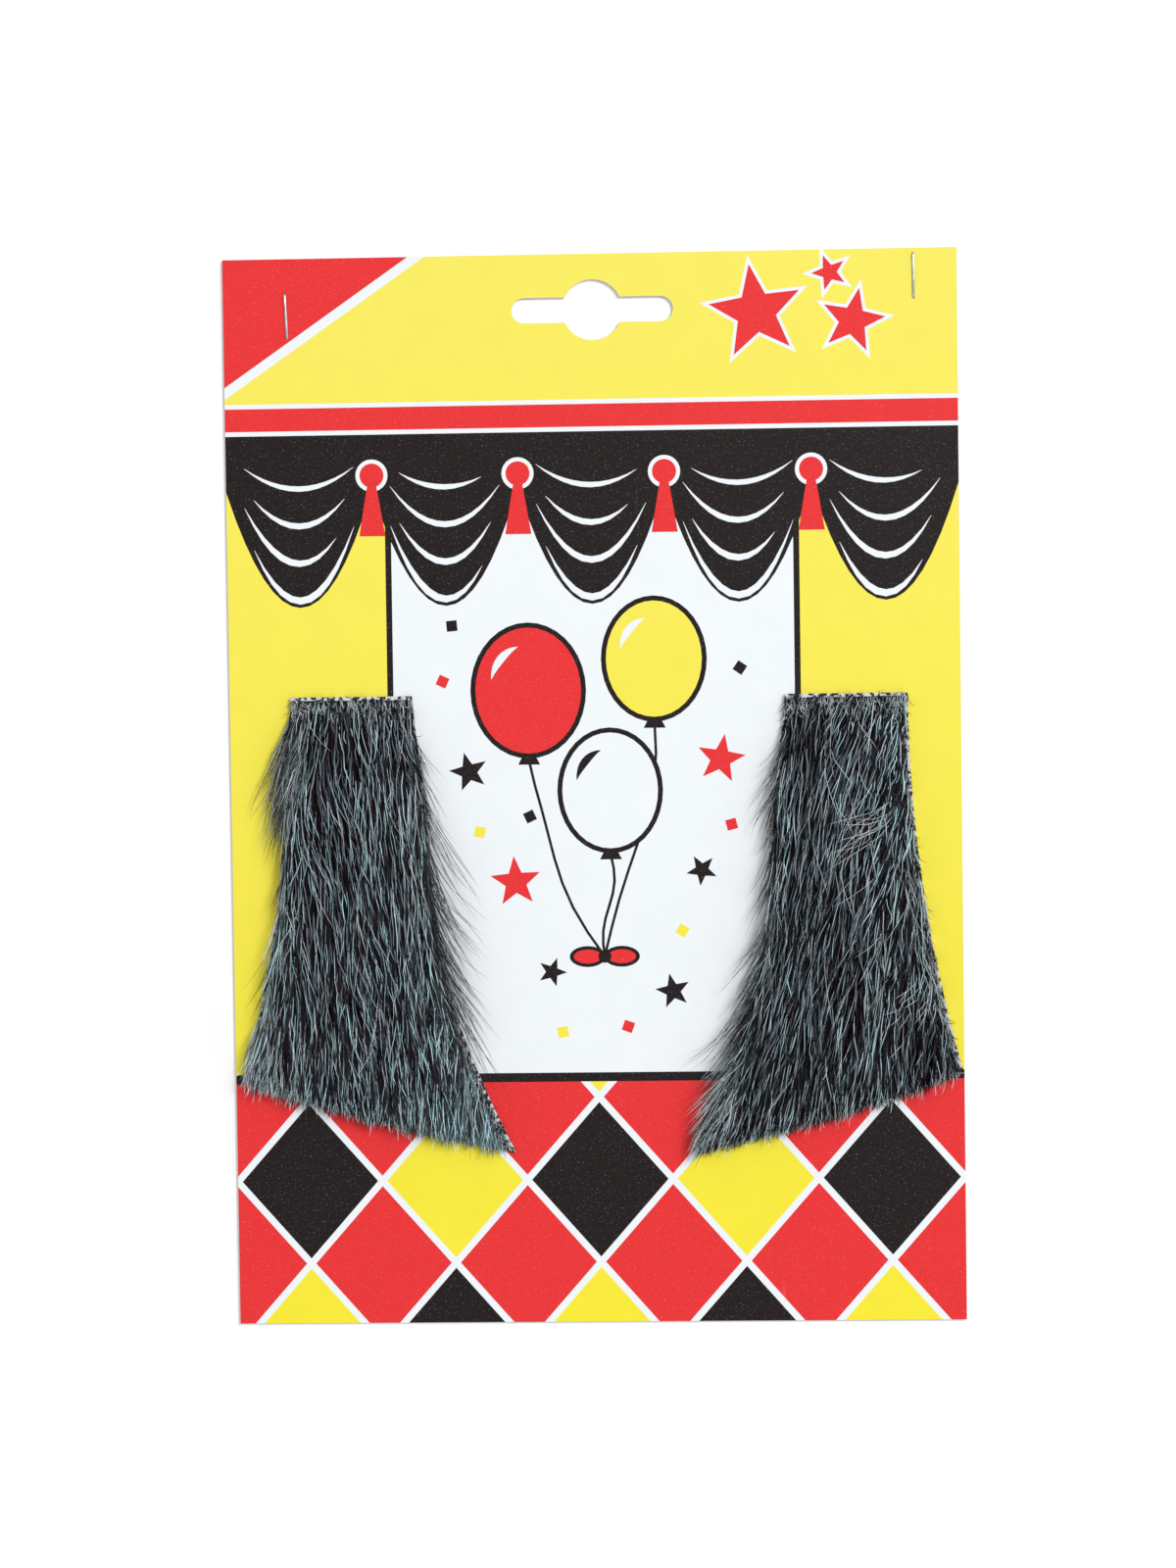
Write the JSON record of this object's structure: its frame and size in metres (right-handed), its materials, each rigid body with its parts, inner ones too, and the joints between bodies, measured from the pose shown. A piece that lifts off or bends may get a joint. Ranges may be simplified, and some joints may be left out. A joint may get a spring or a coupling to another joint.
{
  "type": "pair of fake sideburns on a display card",
  "caption": "Mirrored pair of self-adhesive sideburns cut from grey long-pile fur cloth, flared towards the cheek, stuck to a flat printed card with a hanging slot and wire staples.",
  "frame": {"origin": "middle of the card's back face, which lies on the floor", "axes": "+X to the right across the card's front, +Y up the card towards its hanging slot, +Z out of its front, which is up as it lies"},
  "size_m": [0.145, 0.212, 0.0079],
  "materials": {
    "printed_card": "gloss print",
    "fur_cloth": "long pile",
    "staple_wire": "bright wire"
  },
  "bodies": {
    "root": {"display_card": "printed_card", "sideburn_left": "fur_cloth", "sideburn_right": "fur_cloth", "staple_left": "staple_wire", "staple_right": "staple_wire"}
  },
  "joints": []
}
